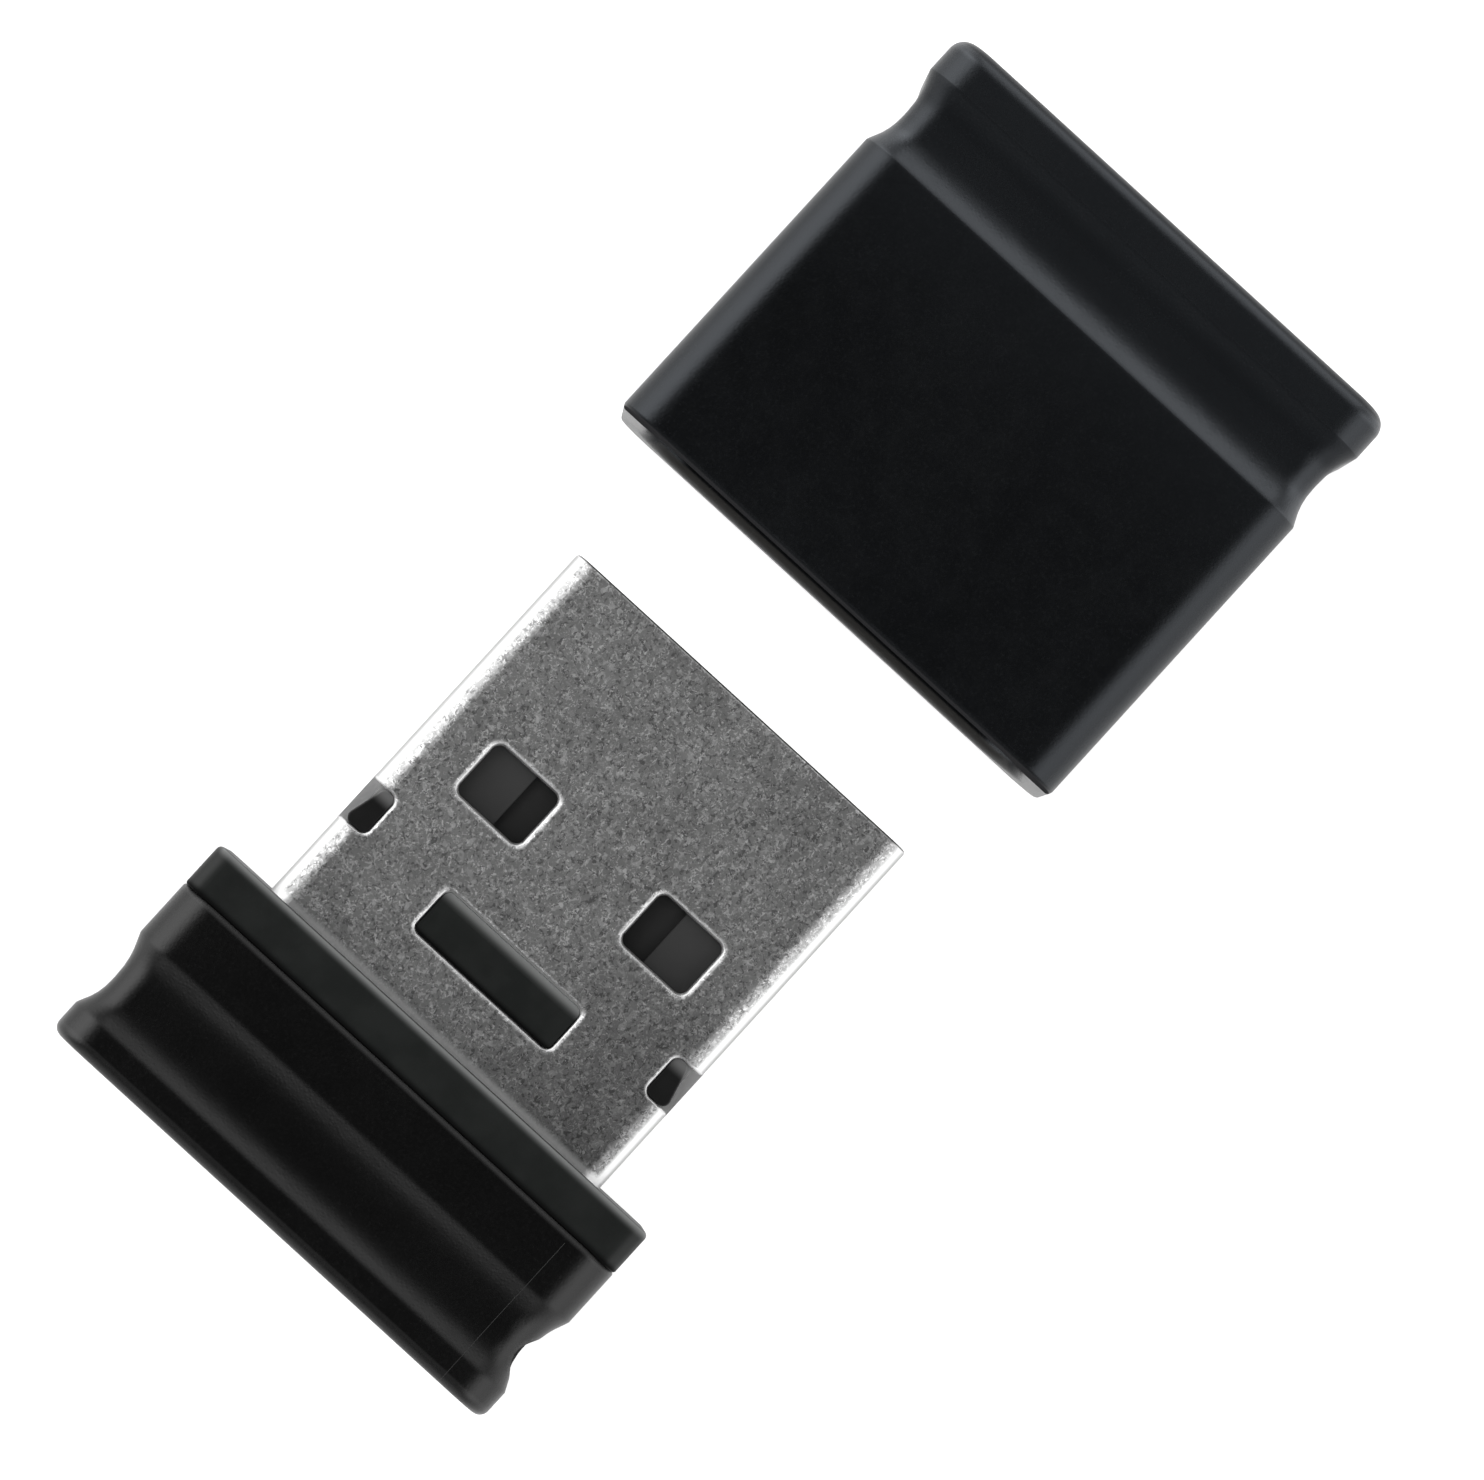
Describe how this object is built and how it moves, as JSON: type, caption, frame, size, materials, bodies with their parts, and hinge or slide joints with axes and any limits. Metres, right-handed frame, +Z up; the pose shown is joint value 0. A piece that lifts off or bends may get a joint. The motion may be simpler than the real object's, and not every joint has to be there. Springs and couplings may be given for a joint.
{
  "type": "usb flash drive",
  "caption": "Short black USB flash drive with a metal type A plug, a waisted body with a lanyard passage, and a pull-off cap with a matching groove.",
  "frame": {"origin": "centre of the collar's front face, on the plug's axis", "axes": "+X out through the plug's tip, +Y across the plug, +Z up through the face with the slot and the carrier behind it"},
  "size_m": [0.0363, 0.0156, 0.0076],
  "materials": {
    "cap_plastic": "fine-grained satin black moulding",
    "housing_plastic": "fine-grained satin black moulding",
    "collar_plastic": "smooth matt charcoal moulding",
    "carrier_plastic": "smooth matt charcoal moulding",
    "shell_steel": "bright plated sheet steel with a faintly mottled surface",
    "substrate_laminate": "glass-epoxy laminate under dark solder mask",
    "contact_gold": "gold-plated copper pads",
    "mould_epoxy": "matt black transfer-moulded epoxy",
    "adhesive_film": "cured adhesive film",
    "silicon": "polished silicon die",
    "wire_gold": "bare bond wire",
    "capacitor_ceramic": "fired ceramic with tinned ends",
    "resistor_ceramic": "dark glazed ceramic with tinned ends",
    "crystal_can": "satin plated can",
    "solder": "reflowed tin solder"
  },
  "bodies": {
    "drive": {"rear_housing": "housing_plastic", "front_collar": "collar_plastic", "plug_carrier": "carrier_plastic", "module_retainer": "carrier_plastic", "plug_shell": "shell_steel", "module_substrate": "substrate_laminate", "vbus_contact": "contact_gold", "data_minus_contact": "contact_gold", "data_plus_contact": "contact_gold", "ground_contact": "contact_gold", "module_encapsulant": "mould_epoxy", "module_adhesive": "adhesive_film", "lower_die_film": "adhesive_film", "upper_die_film": "adhesive_film", "controller_die_film": "adhesive_film", "lower_flash_die": "silicon", "upper_flash_die": "silicon", "controller_die": "silicon", "flash_bond_wires": "wire_gold", "controller_bond_wires": "wire_gold", "ceramic_capacitors": "capacitor_ceramic", "chip_resistors": "resistor_ceramic", "clock_crystal": "crystal_can", "solder_joints": "solder"},
    "cap": {"cap": "cap_plastic"}
  },
  "joints": [
    {"name": "cap_slide", "type": "slide", "parent": "drive", "child": "cap", "axis": [1, 0, 0], "range_m": [-0.01595, 0]}
  ]
}
